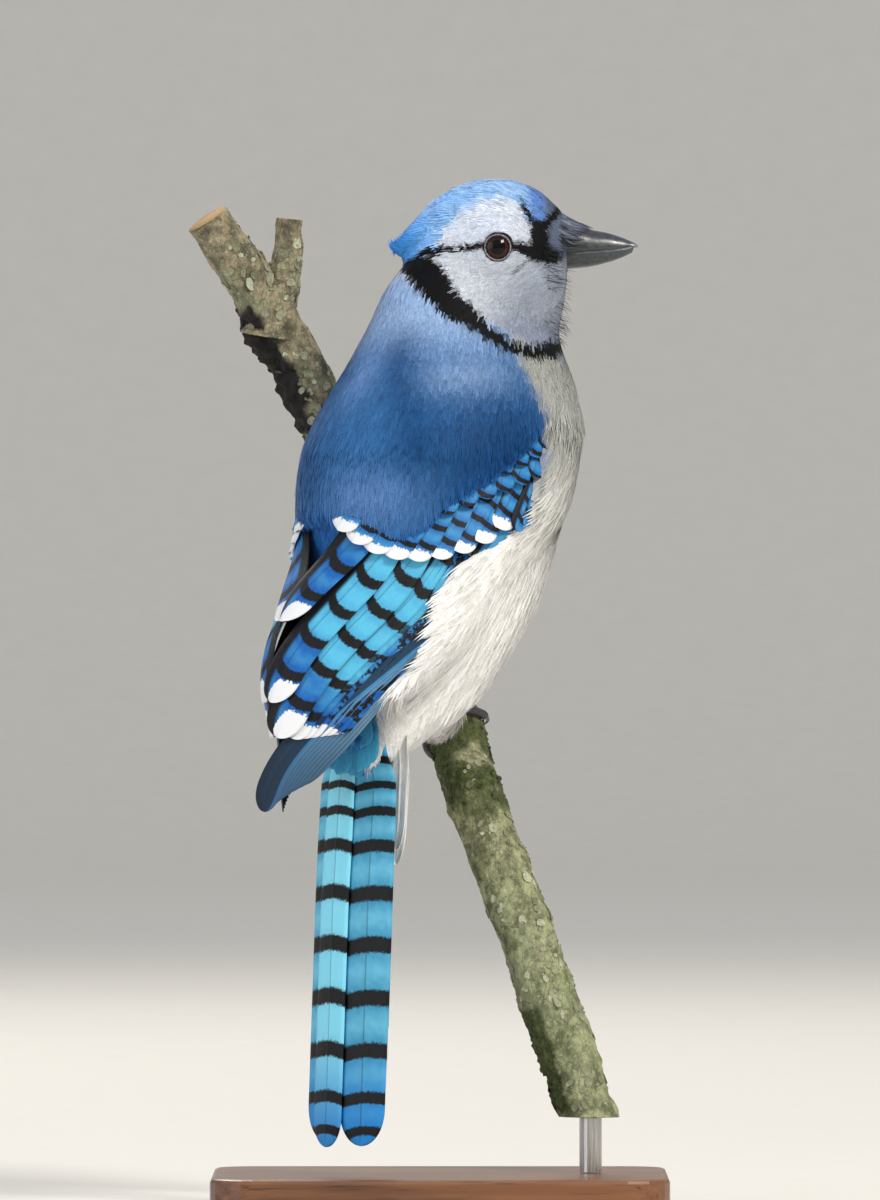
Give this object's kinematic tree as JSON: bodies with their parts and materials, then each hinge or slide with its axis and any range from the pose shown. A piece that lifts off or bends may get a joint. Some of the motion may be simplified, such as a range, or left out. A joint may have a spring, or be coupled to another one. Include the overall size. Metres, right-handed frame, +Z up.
{
  "type": "bird model on a perch",
  "caption": "Life-size blue jay perched on a cut length of branch, head turned to its right, on a flat display base.",
  "frame": {"origin": "centre of the stand's underside", "axes": "+Z up, +X along the bill, the bird's back turned towards -Y"},
  "size_m": [0.137, 0.1058, 0.2927],
  "materials": {
    "plumage_blue": "soft feathers",
    "plumage_white": "soft feathers",
    "wing_blue": "smooth feather vanes",
    "tail_blue": "smooth feather vanes",
    "bill_black": "satin horn",
    "eye_brown": "wet gloss",
    "foot_black": "scaly skin",
    "bark": "rough bark with lichen",
    "stand_wood": "satin wood",
    "stand_metal": "brushed"
  },
  "bodies": {
    "root": {"stand_base": "stand_wood", "stand_rod": "stand_metal", "perch": "bark", "torso": "plumage_blue", "neck": "plumage_blue", "rump": "plumage_blue", "head": "plumage_white", "thigh_right": "plumage_white", "thigh_left": "plumage_white", "wing_right": "wing_blue", "wing_left": "wing_blue", "tail": "tail_blue", "bill_upper": "bill_black", "bill_lower": "bill_black", "eye_right": "eye_brown", "eye_left": "eye_brown", "foot_right": "foot_black", "foot_left": "foot_black"}
  },
  "joints": []
}
